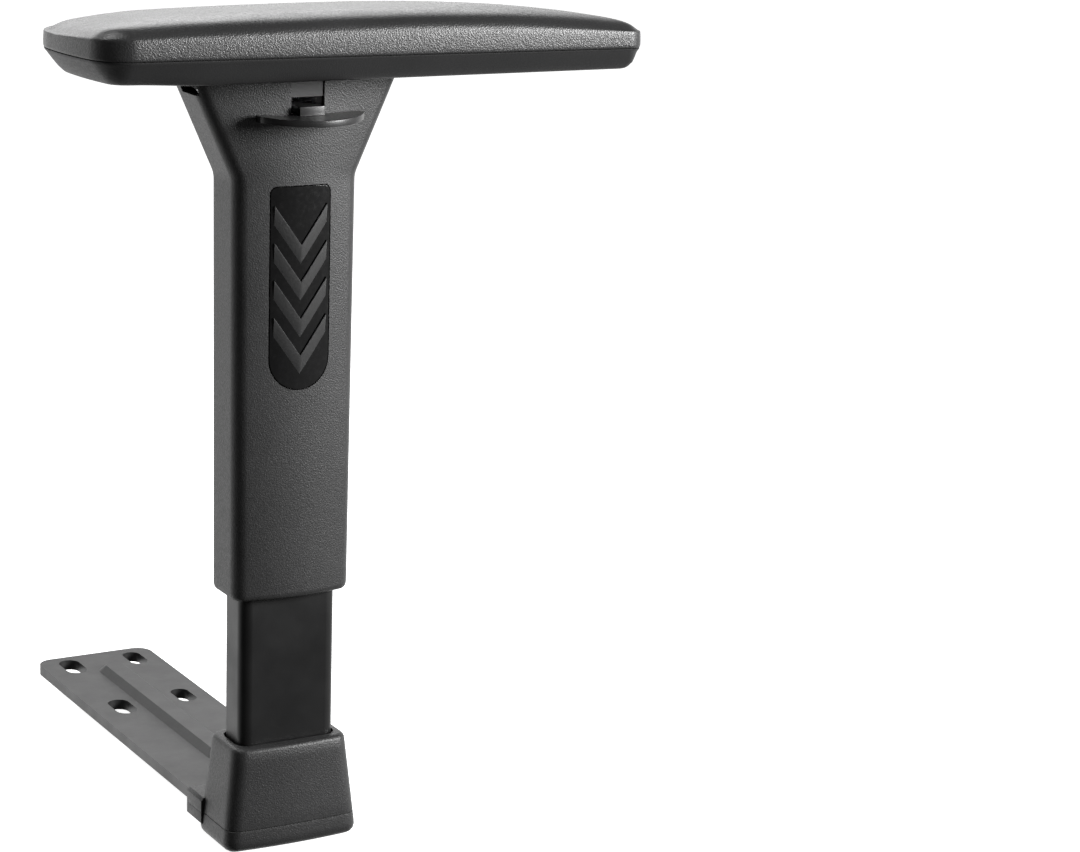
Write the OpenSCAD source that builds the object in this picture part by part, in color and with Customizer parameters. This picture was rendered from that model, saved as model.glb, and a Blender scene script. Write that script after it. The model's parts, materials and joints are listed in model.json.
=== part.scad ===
// Height-adjustable office chair armrest: a padded top on a flared sleeve that
// slides on a flat steel upright, welded to a slotted seat bracket.
// +X runs along the pad, +Y runs under the seat, +Z is up, in millimetres.
// The origin is on the upright's axis, level with the bracket's top face.

/* [Seat bracket] */
// Width of the flat steel bar
plate_w = 60; // [56:1:64]
// Thickness of the bar
plate_t = 5; // [4:0.5:6]
// Distance from the upright's axis to the free end of the bar
plate_reach = 228; // [224:1:240]
// Corner radius at the free end
plate_corner_r = 8; // [2:0.5:9]
// Distance from the upright's axis to the end under the foot cover
plate_tail = 13.6; // [13.5:0.1:14]
// Half width of the tail under the foot cover
tail_hw = 26; // [25.5:0.1:26.2]
// Slot length and width, left row
slot_l = [21, 10.4];
// Slot length and width, right row
slot_r = [19, 9];
// X of the left row of slots
row_l_x = -15.6; // [-16:0.1:-15]
// X of the right row of slots
row_r_x = 18; // [17.5:0.1:19]
// Y of the nearest slot, left row and right row
near_y = [146, 149.5];
// Y of the farthest slot, both rows
far_y = 212.5; // [205:0.5:214]
// Height of the pressed stiffening rib
rib_h = 3; // [2:0.5:3.5]
// Rib width at its foot and along its crest
rib_w = [15.5, 8.5];
// Y range of the rib
rib_y = [57, 206];
// X of the rib's centre line
rib_x = 1.2; // [0:0.1:2]

/* [Upright tube] */
// Outside size of the flat tube along X
tube_w = 45.6; // [45:0.1:46]
// Outside size of the flat tube along Y
tube_d = 20.6; // [20:0.1:20.8]
// Wall of the tube
tube_t = 1.8; // [1.5:0.1:2]
// Outside corner radius of the tube
tube_r = 5; // [4:0.5:6]
// Top of the tube
tube_top = 225; // [220:1:226]
// Length of the height travel
travel = 50; // [40:10:50]
// Distance between two height stops
stop_pitch = 10; // [10:5:20]

/* [Sleeve] */
// Lower edge of the sleeve with the arm fully raised
sleeve_z = 100; // [98:1:102]
// Height where the straight part ends and the flare begins
neck_z = 285; // [283:1:287]
// Underside of the pad, where the flare ends
pad_z = 329; // [328:0.5:330]
// Half width at the mouth, at the neck and at the top of the flare
sleeve_hw = [27.8, 28.7, 48.6];
// Half depth of the sleeve at its corners
sleeve_hd = 13.4; // [13:0.1:14]
// How far the front and back faces bulge past the corners
crown = 3.9; // [3:0.1:4.5]
// Wall of the sleeve
sleeve_t = 2.6; // [2.2:0.1:2.8]
// Corner radius of the sleeve in plan
sleeve_r = 5; // [3:0.5:5]

/* [Trim] */
// Width of the gloss inlay
inlay_w = 27.6; // [24:0.2:29]
// Lower and upper ends of the inlay
inlay_z = [194, 282];
// Pitch of the chevrons
chevron_pitch = 16; // [14:0.5:17]
// Height of a chevron's band, measured upright
chevron_band = 8.2; // [6:0.2:9]

/* [Lever] */
// Half width of the finger paddle
paddle_hw = 24; // [22:0.5:26]
// Y of the paddle's front edge
paddle_front = -37.5; // [-40:0.5:-34]
// X of the lever's centre line
lever_x = 2.6; // [2:0.1:3.2]
// Throw of the lever in degrees
lever_throw = 12; // [8:1:14]

/* [Pad] */
// Rear and front ends of the pad at its corners
pad_x = [-98, 152];
// How far the rear end bows out past its corners
pad_bow = 7; // [6:0.5:11]
// Half width of the pad at its seam
pad_hw = 45.5; // [44:0.5:47]
// Height of the seam between base and cushion
seam_z = 339.6; // [339:0.2:342]
// Highest point of the crowned cushion
pad_top = 357; // [355:0.5:359]
// How far the base is drawn in below the seam
pad_draw = 7.5; // [6:0.5:9]

/* [Hidden] */
$fn = 48;
EPS = 0.01;
GAP = 0.3;          // clearance between pieces that don't share a fit

tail_z = -9;                              // lower end of the tube, below the plate
wall_y = tube_d / 2 - tube_t;             // inner face of the tube's rear wall
latch_z = tube_top - 20;                  // height of the latch, in the raised sleeve
latch_w = 7.6;                            // width of the latch's nose
carrier_x = lever_x;                      // centre line of the lock
carrier_foot = latch_z - 12;              // lower end of the lock carrier
carrier_shoulder = tube_top + travel + 9; // where the carrier widens
pivot = [-8.5, 313];                      // lever pivot, Y and Z
nose_y = 3;                               // Y of the lever's nose and the push rod
rod_top = pivot[1] - 2.8;                 // top of the push rod
rod_r = 2;
board_z = [pad_z + 3.2, seam_z - 0.4];    // lower and upper faces of the pad board
screw_x = [-36, -23, 25.6, 36];           // pad screws, along the pad
tap_x = [carrier_x - 13, carrier_x + 13]; // carrier screws, along the pad
web_z = pad_z - 6;                        // underside of the flare's top web
foot_z = [-15, -4.4, 32.5];               // cap bottom, parting line, cover top

// ---------- shared shapes ----------

module flat_oval(hw, hd, r) {
  square([2 * hw - 2 * r, 2 * hd], center = true);
  square([2 * hw, 2 * hd - 2 * r], center = true);
  for (x = [-1, 1], y = [-1, 1])
    translate([x * (hw - r), y * (hd - r)]) circle(r);
}

module slot_2d(len, wid) {
  square([wid, len - wid], center = true);
  for (s = [-1, 1]) translate([0, s * (len - wid) / 2]) circle(wid / 2);
}

// Rounded rectangle whose front and back bulge by b at the middle
function bulge(p, hw, hd, b) =
  [p[0], p[1] + b * (1 - pow(p[0] / hw, 2)) * p[1] / hd];

function ring(hw, hd, r, b, n = 6, m = 10) = [
  for (k = [0 : 3])
    let (sx = (k == 0 || k == 3) ? 1 : -1,
         sy = (k < 2) ? 1 : -1,
         a0 = 90 * k,
         run = 2 * (hw - r))
    each concat(
      [for (i = [0 : n])
         bulge([sx * (hw - r) + r * cos(a0 + 90 * i / n),
                sy * (hd - r) + r * sin(a0 + 90 * i / n)], hw, hd, b)],
      (k % 2 == 0)
        ? [for (j = [1 : m - 1]) bulge([sx * (hw - r - run * j / m), sy * hd], hw, hd, b)]
        : [])
];

module crowned(hw, hd, r, b) { polygon(ring(hw, hd, r, b)); }

module slice(z, hw, hd, r, b) {
  translate([0, 0, z]) linear_extrude(EPS) crowned(hw, hd, r, b);
}

// Skin through rings of equal length: each entry is [z, ring]
module loft(secs) {
  n = len(secs[0][1]);
  top = len(secs) - 1;
  pts = [for (s = secs) for (p = s[1]) [p[0], p[1], s[0]]];
  sides = [
    for (k = [0 : top - 1], i = [0 : n - 1])
      let (a = k * n + i, b = k * n + (i + 1) % n)
      each [[a, a + n, b + n], [a, b + n, b]]
  ];
  polyhedron(pts, concat(
    [[for (i = [0 : n - 1]) i]],
    sides,
    [[for (i = [n - 1 : -1 : 0]) top * n + i]]
  ));
}

module cross_bar(r, len, x, y, z) {
  translate([x - len / 2, y, z]) rotate([0, 90, 0]) cylinder(r = r, h = len);
}

// ---------- seat bracket and upright ----------

module rib_solid(h, grow) {
  hull() {
    for (y = rib_y + [rib_w[0] / 2, -rib_w[0] / 2]) {
      translate([rib_x, y, -plate_t]) cylinder(d = rib_w[0] + grow, h = plate_t);
      translate([rib_x, y, 0]) cylinder(d = rib_w[1] + grow, h = h);
    }
  }
}

module slots_2d() {
  for (y = [near_y[0], far_y]) translate([row_l_x, y]) slot_2d(slot_l[0], slot_l[1]);
  for (y = [near_y[1], far_y]) translate([row_r_x, y]) slot_2d(slot_r[0], slot_r[1]);
}

module plate_2d() {
  r = plate_corner_r;
  translate([-tail_hw, -plate_tail]) square([2 * tail_hw, plate_tail + 20]);
  translate([-plate_w / 2, 17]) square([plate_w, plate_reach - 17 - r]);
  translate([-plate_w / 2 + r, plate_reach - r - EPS]) square([plate_w - 2 * r, r + EPS]);
  for (s = [-1, 1]) translate([s * (plate_w / 2 - r), plate_reach - r]) circle(r);
}

module bracket_plate() {
  color([0.13, 0.13, 0.14]) difference() {
    union() {
      translate([0, 0, -plate_t]) linear_extrude(plate_t) difference() {
        plate_2d();
        slots_2d();
        flat_oval(tube_w / 2 + 0.05, tube_d / 2 + 0.05, tube_r);
        for (x = [-22, 22]) translate([x, 22.8]) circle(1.65);
      }
      rib_solid(rib_h, 0);
    }
    translate([0, 0, -plate_t - EPS]) hull() {
      for (y = rib_y + [rib_w[0] / 2, -rib_w[0] / 2]) {
        translate([rib_x, y, 0]) cylinder(d = rib_w[0] - 5, h = EPS);
        translate([rib_x, y, 0]) cylinder(d = rib_w[1] - 4, h = rib_h + 2);
      }
    }
  }
}

// Keyhole track in the rear wall: a guide slot with a round seat at each height stop
module stop_track() {
  for (z = [latch_z - travel : stop_pitch : latch_z])
    translate([carrier_x, 0, z]) rotate([-90, 0, 0]) cylinder(r = 5.1, h = tube_d);
  translate([carrier_x - 4.2, 0, latch_z - travel]) cube([8.4, tube_d, travel]);
}

module upright_tube() {
  color([0.05, 0.05, 0.055]) difference() {
    translate([0, 0, tail_z]) linear_extrude(tube_top - tail_z) difference() {
      flat_oval(tube_w / 2, tube_d / 2, tube_r);
      flat_oval(tube_w / 2 - tube_t, wall_y, tube_r - tube_t);
    }
    stop_track();
  }
}

module bead(z0, up) {
  for (i = [0 : 2])
    translate([0, 0, up ? z0 + i * 1.1 : z0 - (i + 1) * 1.1]) linear_extrude(1.1) difference() {
      flat_oval(tube_w / 2 + 3.2 - i, tube_d / 2 + 3.2 - i, tube_r + 3.2 - i);
      flat_oval(tube_w / 2 + EPS, tube_d / 2 + EPS, tube_r);
    }
}

module weld_upper() { color([0.1, 0.1, 0.1]) bead(0, true); }
module weld_lower() { color([0.1, 0.1, 0.1]) bead(-plate_t, false); }

module tube_plug() {
  color([0.08, 0.08, 0.08]) {
    translate([0, 0, tail_z - 1.6]) linear_extrude(1.6)
      flat_oval(tube_w / 2, tube_d / 2, tube_r);
    translate([0, 0, tail_z - EPS]) linear_extrude(10) difference() {
      flat_oval(tube_w / 2 - tube_t - 0.1, wall_y - 0.1, tube_r - tube_t);
      flat_oval(tube_w / 2 - tube_t - 2.1, wall_y - 2.1, 1.5);
    }
  }
}

module tube_collar() {
  color([0.78, 0.77, 0.72]) {
    translate([0, 0, tube_top - 14]) linear_extrude(14.5) difference() {
      crowned(sleeve_hw[0] - sleeve_t - 0.3, sleeve_hd - sleeve_t - 0.25, 3, crown - 0.3);
      flat_oval(tube_w / 2 + 0.02, tube_d / 2 + 0.02, tube_r);
    }
    translate([0, 0, tube_top]) linear_extrude(2) difference() {
      crowned(sleeve_hw[0] - sleeve_t - 0.3, sleeve_hd - sleeve_t - 0.25, 3, crown - 0.3);
      flat_oval(tube_w / 2 - tube_t, wall_y, tube_r - tube_t);
    }
  }
}

// ---------- foot ----------

// Half width and half depth of the foot at height z
function foot_hw(z) = 32.6 - 5.2 * (z - foot_z[0]) / (foot_z[2] - foot_z[0]);
function foot_hd(z) = 17.6 - 2.8 * (z - foot_z[0]) / (foot_z[2] - foot_z[0]);

module foot_slice(z, inset, t = EPS) {
  translate([0, 0, z]) linear_extrude(t)
    crowned(foot_hw(z) - inset, foot_hd(z) - inset, 6 - min(inset, 3), 1.6);
}

module foot_collar(z0, z1) {
  translate([-32.6, 11, z0]) cube([65.2, 16, z1 - z0]);
}

module plate_passage() {
  h = plate_t + 2 * GAP;
  translate([-tail_hw - GAP, -plate_tail - GAP, -plate_t - GAP]) cube([2 * tail_hw + 2 * GAP, 60, h]);
  translate([-plate_w / 2 - GAP, 17 - GAP, -plate_t - GAP]) cube([plate_w + 2 * GAP, 60, h]);
}

module foot_cover() {
  color([0.09, 0.09, 0.095]) difference() {
    union() {
      hull() {
        foot_slice(foot_z[1], 0);
        foot_slice(foot_z[2] - 2.2, 0);
        foot_slice(foot_z[2] - 0.8, 0.6);
        foot_slice(foot_z[2] - EPS, 1.8);
      }
      foot_collar(foot_z[1], 2.4);
    }
    // tube passage, hollow over the weld, plate passage
    translate([0, 0, -20]) linear_extrude(60)
      flat_oval(tube_w / 2 + 1, tube_d / 2 + 1, tube_r + 1);
    hull() {
      foot_slice(foot_z[1] - 1, 2.6);
      foot_slice(foot_z[2] - 5, 2.6);
    }
    plate_passage();
  }
}

module foot_cap() {
  color([0.09, 0.09, 0.095]) difference() {
    union() {
      hull() {
        foot_slice(foot_z[0], 2.6);
        foot_slice(foot_z[0] + 1, 0.9);
        foot_slice(foot_z[0] + 2.6, 0);
        foot_slice(foot_z[1] - 0.15 - EPS, 0);
      }
      foot_collar(-9.4, foot_z[1] - 0.15);
      hull() {
        translate([-32.6, 11, -9.4]) cube([65.2, 14, EPS]);
        translate([-29, 8, -13]) cube([58, 12, EPS]);
      }
    }
    hull() {
      foot_slice(foot_z[0] + 2.4, 2.6);
      foot_slice(foot_z[1], 2.6);
    }
    plate_passage();
    for (x = [-22, 22]) translate([x, 22.8, -20]) {
      cylinder(r = 1.9, h = 20);
      cylinder(r = 3.5, h = 20 - 9.4);
    }
  }
}

module foot_cap_screws() {
  color([0.55, 0.55, 0.57]) for (x = [-22, 22]) translate([x, 22.8, 0]) {
    translate([0, 0, -11.4]) cylinder(r = 3.2, h = 2 - EPS);
    translate([0, 0, -9.4 - 2 * EPS]) cylinder(r = 1.6, h = 8);
  }
}

// ---------- sleeve ----------

module sleeve_shape() {
  hw = sleeve_hw;
  hd = sleeve_hd;
  r = sleeve_r;
  loft([
    [sleeve_z, ring(hw[0] - 2.6, hd - 2.6, r - 1.6, crown)],
    [sleeve_z + 0.6, ring(hw[0] - 1.3, hd - 1.3, r - 1, crown)],
    [sleeve_z + 1.8, ring(hw[0] - 0.4, hd - 0.4, r - 0.3, crown)],
    [sleeve_z + 3.6, ring(hw[0], hd, r, crown)],
    [neck_z - 1.6, ring(hw[1], hd, r, crown)],
    [neck_z + 1.8, ring(hw[1] + 0.9, hd, r, crown)],
    [pad_z, ring(hw[2], hd, r, crown)]
  ]);
}

module cavity() {
  hw = [for (w = sleeve_hw) w - sleeve_t];
  hd = sleeve_hd - sleeve_t;
  loft([
    [sleeve_z - 1, ring(hw[0], hd, 3, crown)],
    [neck_z - 4, ring(hw[0], hd, 3, crown)],
    [web_z, ring(hw[2] - 2.7, hd, 3, crown)]
  ]);
}

module inlay_2d(grow) {
  hw = inlay_w / 2 + grow;
  r = 3 + grow;
  lo = inlay_z[0] + inlay_w / 2;
  hi = inlay_z[1] + grow;
  translate([0, lo]) circle(hw);
  translate([-hw, lo]) square([2 * hw, hi - lo - r]);
  translate([-hw + r, hi - r - EPS]) square([2 * hw - 2 * r, r + EPS]);
  for (s = [-1, 1]) translate([s * (hw - r), hi - r]) circle(r);
}

module face_block(inset) {
  loft([for (z = [190, 286]) [z, ring(sleeve_hw[1], sleeve_hd - inset, sleeve_r, crown)]]);
}

module on_front(depth) {
  translate([0, -sleeve_hd - crown + depth, 0]) rotate([90, 0, 0])
    linear_extrude(12) children();
}

module sleeve() {
  color([0.09, 0.09, 0.095]) difference() {
    sleeve_shape();
    cavity();
    on_front(2.2) inlay_2d(0.5);
    // lever window, open to the top, and the relief notches under the pad
    translate([lever_x - 7.7, -30, 312.8]) cube([15.4, 19, 40]);
    for (s = [-1, 1]) translate([s * 50, -3, pad_z]) cube([16, 15, 10], center = true);
    // holes through the top web
    translate([carrier_x - 9.2, -11.8, web_z - 1]) cube([18.4, 21, 10]);
    for (x = screw_x) translate([x, 0, web_z - 1]) cylinder(r = 2.75, h = 10);
    for (x = tap_x) translate([x, 0, web_z - 1]) cylinder(r = 1.7, h = 4.4);
  }
}

module sleeve_bush() {
  color([0.05, 0.05, 0.05]) difference() {
    translate([0, 0, sleeve_z + 0.6]) linear_extrude(22)
      crowned(sleeve_hw[0] - sleeve_t - 0.05, sleeve_hd - sleeve_t - 0.05, 3, crown);
    translate([0, 0, sleeve_z]) linear_extrude(30)
      flat_oval(tube_w / 2 + GAP, tube_d / 2 + GAP, tube_r + GAP);
  }
}

// ---------- trim ----------

module chevron_2d(tip_z) {
  rise = 17.2;
  hw = 12.2;
  polygon([
    [-hw, tip_z + rise], [0, tip_z], [hw, tip_z + rise],
    [hw, tip_z + rise - chevron_band], [0, tip_z - chevron_band],
    [-hw, tip_z + rise - chevron_band]
  ]);
}

module chevrons_2d() {
  for (k = [0 : 3]) chevron_2d(257 - k * chevron_pitch);
}

// Panel with the chevrons sunk into its face
module inlay_panel() {
  color([0.02, 0.02, 0.022]) difference() {
    intersection() {
      on_front(2.1) inlay_2d(0);
      face_block(0);
    }
    on_front(1.5) chevrons_2d();
  }
}

// Textured chevron strips, one for each groove
module chevron_strips() {
  color([0.16, 0.16, 0.165]) intersection() {
    on_front(1.48) chevrons_2d();
    face_block(0.35);
  }
}

// ---------- lock ----------

module lock_carrier() {
  x = carrier_x;
  color([0.75, 0.75, 0.72]) difference() {
    union() {
      translate([x - 9, -11.6, carrier_shoulder]) cube([18, 20.6, pad_z - GAP - carrier_shoulder]);
      translate([x - 7.4, -7.6, carrier_foot]) cube([14.8, 15.2, carrier_shoulder - carrier_foot + 1]);
      translate([x - 16.6, -5.5, web_z - 3.2]) cube([33.2, 11, 3]);
    }
    for (sx = tap_x) translate([sx, 0, web_z - 5]) cylinder(r = 1.7, h = 10);
    // lever pocket, open towards the window and upwards
    translate([x - 6.4, -14, pivot[1] - 6]) cube([12.8, 20.5, 40]);
    cross_bar(1.55, 30, x, pivot[0], pivot[1]);
    // push rod bore and spring bore
    translate([x, nose_y, latch_z]) cylinder(r = rod_r + 0.05, h = 110);
    translate([x, nose_y, rod_top - 17]) cylinder(r = 3.4, h = 30);
    // latch guide, room for its shoulder and for the wedge
    translate([x - latch_w / 2 - 0.05, -12, latch_z - 4.05]) cube([latch_w + 0.1, 24, 8.1]);
    translate([x - 5.4, 3.2, latch_z - 5.4]) cube([10.8, 10, 10.8]);
    translate([x - 2.4, -4.2, latch_z - 5.6]) cube([4.8, 9.6, 16.2]);
  }
}

module slot_plate() {
  color([0.32, 0.32, 0.33]) translate([lever_x - 7.4, -16.4, 319.8])
    cube([14.8, 4.8 - EPS, pad_z - GAP - 319.8]);
}

module carrier_screws() {
  color([0.6, 0.6, 0.62]) for (x = tap_x) translate([x, 0, 0]) {
    translate([0, 0, web_z - 5.4]) cylinder(r = 3.1, h = 2.2 - EPS);
    translate([0, 0, web_z - 3.2 - 2 * EPS]) cylinder(r = 1.6, h = 6);
  }
}

module lever_pivot() { color([0.7, 0.7, 0.72]) cross_bar(1.5, 17.6, carrier_x, pivot[0], pivot[1]); }

module paddle_2d() {
  back = -sleeve_hd - crown - 1;
  sag = back - paddle_front;
  big = (pow(paddle_hw, 2) + pow(sag - 5, 2)) / (2 * (sag - 5));
  intersection() {
    translate([0, paddle_front + big]) circle(big, $fn = 96);
    translate([-paddle_hw, paddle_front]) square([2 * paddle_hw, sag]);
  }
}

module lever() {
  x = lever_x;
  z = pivot[1];
  color([0.12, 0.12, 0.125]) difference() {
    union() {
      // paddle, thin and dished so that its tips stand higher than its middle
      intersection() {
        translate([x - 0.6, 0, 300]) linear_extrude(30) paddle_2d();
        difference() {
          translate([x - 0.6, 0, 309.6 + 320]) rotate([90, 0, 0]) cylinder(r = 320, h = 80, $fn = 480);
          translate([x - 0.6, 1, 312.4 + 318]) rotate([90, 0, 0]) cylinder(r = 318, h = 82, $fn = 480);
        }
      }
      translate([x - 5.6, -21.5, z - 2]) cube([11.2, 3, 3]);
      // neck through the window, hub, beam and nose
      translate([x - 5.6, -21.5, z + 0.2]) cube([11.2, 21.5 + pivot[0], 3]);
      cross_bar(3.6, 11.2, x, pivot[0], z);
      translate([x - 2.6, pivot[0], z - 2.2]) cube([5.2, nose_y - pivot[0], 4.4]);
      cross_bar(2.5, 5.2, x, nose_y, z);
    }
    cross_bar(1.55, 30, x, pivot[0], z);
  }
}

// The rod's wedge and the latch's ramp are parallel, at 45 degrees
module push_rod() {
  x = carrier_x;
  color([0.7, 0.7, 0.72]) {
    translate([x, nose_y, latch_z + 9]) cylinder(r = rod_r, h = rod_top - latch_z - 9);
    translate([x - 1.9, 0, latch_z]) rotate([90, 0, 90]) linear_extrude(3.8)
      polygon([[3, 9.8], [-3.4, 9.8], [-3.4, 3.4], [1, -1], [3, -1]]);
    translate([x, nose_y, rod_top - 3]) cylinder(r = 3.1, h = 1.4);
  }
}

// Coil spring on the push rod, from the foot of its bore to the rod's collar
module rod_spring() {
  turns = 6;
  steps = 18;
  lo = rod_top - 17 + 0.4;
  rise = rod_top - 3 - 0.4 - lo;
  total = turns * steps;
  pts = [
    for (k = [0 : total], j = [0 : 5])
      let (a = 360 * k / steps, rr = 2.68 + 0.38 * cos(60 * j))
      [rr * cos(a), rr * sin(a), rise * k / total + 0.38 * sin(60 * j)]
  ];
  skin = [
    for (k = [0 : total - 1], j = [0 : 5])
      let (a = k * 6 + j, b = k * 6 + (j + 1) % 6)
      each [[a, b, b + 6], [a, b + 6, a + 6]]
  ];
  color([0.75, 0.75, 0.78]) translate([carrier_x, nose_y, lo]) polyhedron(pts, concat(
    [[5, 4, 3, 2, 1, 0]],
    skin,
    [[for (j = [0 : 5]) total * 6 + j]]
  ));
}

module latch() {
  x = carrier_x;
  w = latch_w / 2;
  shelf = wall_y - GAP;
  color([0.68, 0.68, 0.7]) {
    difference() {
      translate([x - w, -5.2, latch_z - 4]) cube([latch_w, shelf - 1 + 5.2, 8]);
      translate([x - 2.3, 0, latch_z]) rotate([90, 0, 90]) linear_extrude(4.6)
        polygon([[5.5, 5], [-4.4, 5], [-4.4, 4], [0.6, -1], [0.6, -5], [5.5, -5]]);
    }
    translate([x, shelf - 2, latch_z]) rotate([-90, 0, 0]) cylinder(r = 4.9, h = 2);
    translate([x, shelf - 1, latch_z]) rotate([-90, 0, 0]) cylinder(r = w, h = 3.1);
  }
}

// ---------- pad ----------

// Corners of the pad in plan: X, Y and radius, drawn in by d
function pad_corners(d) = [
  [pad_x[1] - d, pad_hw - d, max(14 - d, 4)],
  [pad_x[0] + d, pad_hw - d, max(40 - d, 8)],
  [pad_x[0] + d, -pad_hw + d, max(13 - d, 4)],
  [pad_x[1] - d, -pad_hw + d, max(9 - d, 3)]
];

// Corner arcs, then points along the bowed rear end
function pad_ring(d, n = 8, m = 10) = [
  for (k = [0 : 3])
    let (c = pad_corners(d)[k], r = c[2],
         sx = (k == 0 || k == 3) ? 1 : -1, sy = (k < 2) ? 1 : -1,
         low = -pad_hw + d + pad_corners(d)[2][2])
    each [for (p = concat(
      [for (i = [0 : n])
         [c[0] - sx * r + r * cos(90 * k + 90 * i / n), c[1] - sy * r + r * sin(90 * k + 90 * i / n)]],
      (k == 1) ? [for (j = [1 : m - 1]) [c[0], c[1] - r + (low - c[1] + r) * j / m]] : []))
      [p[0] - ((p[0] < 0) ? pad_bow * (1 - pow(p[1] / pad_hw, 2)) * (-p[0] / 108) : 0), p[1]]]
];

module pad_slice(z, d, t = EPS) {
  translate([0, 0, z]) linear_extrude(t) polygon(pad_ring(d));
}

module pad_base() {
  color([0.1, 0.1, 0.105]) difference() {
    loft([
      [pad_z, pad_ring(pad_draw)],
      [seam_z - 1.2, pad_ring(0.5)],
      [seam_z, pad_ring(0.9)]
    ]);
    pad_slice(board_z[0], pad_draw + 1.6, 20);
    for (x = screw_x) translate([x, 0, pad_z - 1]) cylinder(r = 2.75, h = 6);
  }
}

module pad_board() {
  color([0.62, 0.47, 0.3]) difference() {
    pad_slice(board_z[0], pad_draw + 1.65, board_z[1] - board_z[0]);
    for (x = screw_x) translate([x, 0, pad_z]) cylinder(r = 3.6, h = 20);
  }
}

module tee_nuts() {
  color([0.72, 0.72, 0.74]) for (x = screw_x) translate([x, 0, 0]) difference() {
    union() {
      translate([0, 0, board_z[0] + 0.4]) cylinder(r = 3.55, h = board_z[1] - board_z[0] - 0.2);
      translate([0, 0, board_z[1]]) cylinder(r = 5.1, h = 0.4);
    }
    translate([0, 0, board_z[0]]) cylinder(r = 2.5, h = 20);
  }
}

module pad_screws() {
  color([0.72, 0.72, 0.74]) for (x = screw_x) translate([x, 0, 0]) {
    translate([0, 0, web_z - 5.2]) cylinder(r = 4.2, h = 4);
    translate([0, 0, web_z - 1.2 - EPS]) cylinder(r = 2.45, h = 17);
  }
}

module pad_washers() {
  color([0.72, 0.72, 0.74]) for (x = screw_x) translate([x, 0, web_z - 1.2]) difference() {
    cylinder(r = 4.8, h = 1.2);
    translate([0, 0, -1]) cylinder(r = 2.7, h = 4);
  }
}

// Foam cushion in its cover, seated on the base's rim
module pad_cushion() {
  color([0.06, 0.06, 0.065]) loft([
    [seam_z, pad_ring(2)],
    [seam_z + 0.9, pad_ring(0.4)],
    [seam_z + 2, pad_ring(0)],
    [seam_z + 10.2, pad_ring(0.6)],
    [seam_z + 12.8, pad_ring(2)],
    [seam_z + 14.6, pad_ring(5)],
    [seam_z + 15.8, pad_ring(10)],
    [pad_top, pad_ring(26)]
  ]);
}

bracket_plate();
upright_tube();
weld_upper();
weld_lower();
tube_plug();
tube_collar();
foot_cover();
foot_cap();
foot_cap_screws();
sleeve();
sleeve_bush();
inlay_panel();
chevron_strips();
lock_carrier();
slot_plate();
carrier_screws();
lever_pivot();
lever();
push_rod();
rod_spring();
latch();
pad_base();
pad_board();
pad_cushion();
tee_nuts();
pad_screws();
pad_washers();
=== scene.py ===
import json
import math

import bmesh
import bpy
from mathutils import Matrix, Vector
from mathutils.geometry import delaunay_2d_cdt
from mathutils.kdtree import KDTree


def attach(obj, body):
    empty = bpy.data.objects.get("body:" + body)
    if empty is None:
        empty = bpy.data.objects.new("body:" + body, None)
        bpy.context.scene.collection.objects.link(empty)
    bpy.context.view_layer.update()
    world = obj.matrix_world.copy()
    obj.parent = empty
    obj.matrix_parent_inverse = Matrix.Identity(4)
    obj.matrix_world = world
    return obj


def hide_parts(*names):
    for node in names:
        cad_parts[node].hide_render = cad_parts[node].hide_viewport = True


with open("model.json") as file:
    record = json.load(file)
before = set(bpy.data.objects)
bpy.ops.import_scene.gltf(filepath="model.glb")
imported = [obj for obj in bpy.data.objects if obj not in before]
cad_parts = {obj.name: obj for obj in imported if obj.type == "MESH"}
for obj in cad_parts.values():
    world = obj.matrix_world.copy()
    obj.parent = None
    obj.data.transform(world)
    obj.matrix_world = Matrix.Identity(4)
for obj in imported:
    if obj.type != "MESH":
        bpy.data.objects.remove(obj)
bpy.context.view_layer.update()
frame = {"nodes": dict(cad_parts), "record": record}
MM = 0.001

# Sizes of the part, in millimetres: X along the pad, Y along the bracket, Z up.
SLEEVE_LOW, NECK, PAD_UNDER = 100.0, 285.0, 329.0   # mouth, start of the flare, underside of the pad
HW, HD, CROWN = (27.8, 28.7, 48.6), 13.4, 3.9       # half widths at those heights, half depth, bulge
SLEEVE_R, WALL = 5.2, 2.6
INLAY_HW, INLAY_Z = 13.8, (194.0, 282.0)
CHEVRON_TIP, CHEVRON_PITCH = 257.0, 16.0
FOOT_LOW, FOOT_PART, FOOT_TOP = -15.0, -4.4, 32.5
COLLAR_HW, COLLAR_Y = 32.6, (11.0, 27.0)
CAP_SCREW, CAP_SCREW_Y, CAP_SCREW_SEAT = 22.0, 22.8, -9.4
PLATE_HW, PLATE_T, TAIL_HW, TAIL_Y = 30.0, 5.0, 26.0, 13.6
PAD_X, PAD_HW, BOW, SEAM = (-98.0, 152.0), 45.5, 7.0, 339.6
LEVER_X, PIVOT_Y, PIVOT_Z, NOSE_Y = 2.6, -8.5, 313.0, 3.0
PADDLE_X, PADDLE_HW, PADDLE_FRONT, PADDLE_BACK = 2.0, 24.0, -37.5, -18.3


# ---------------------------------------------------------------- camera

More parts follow.
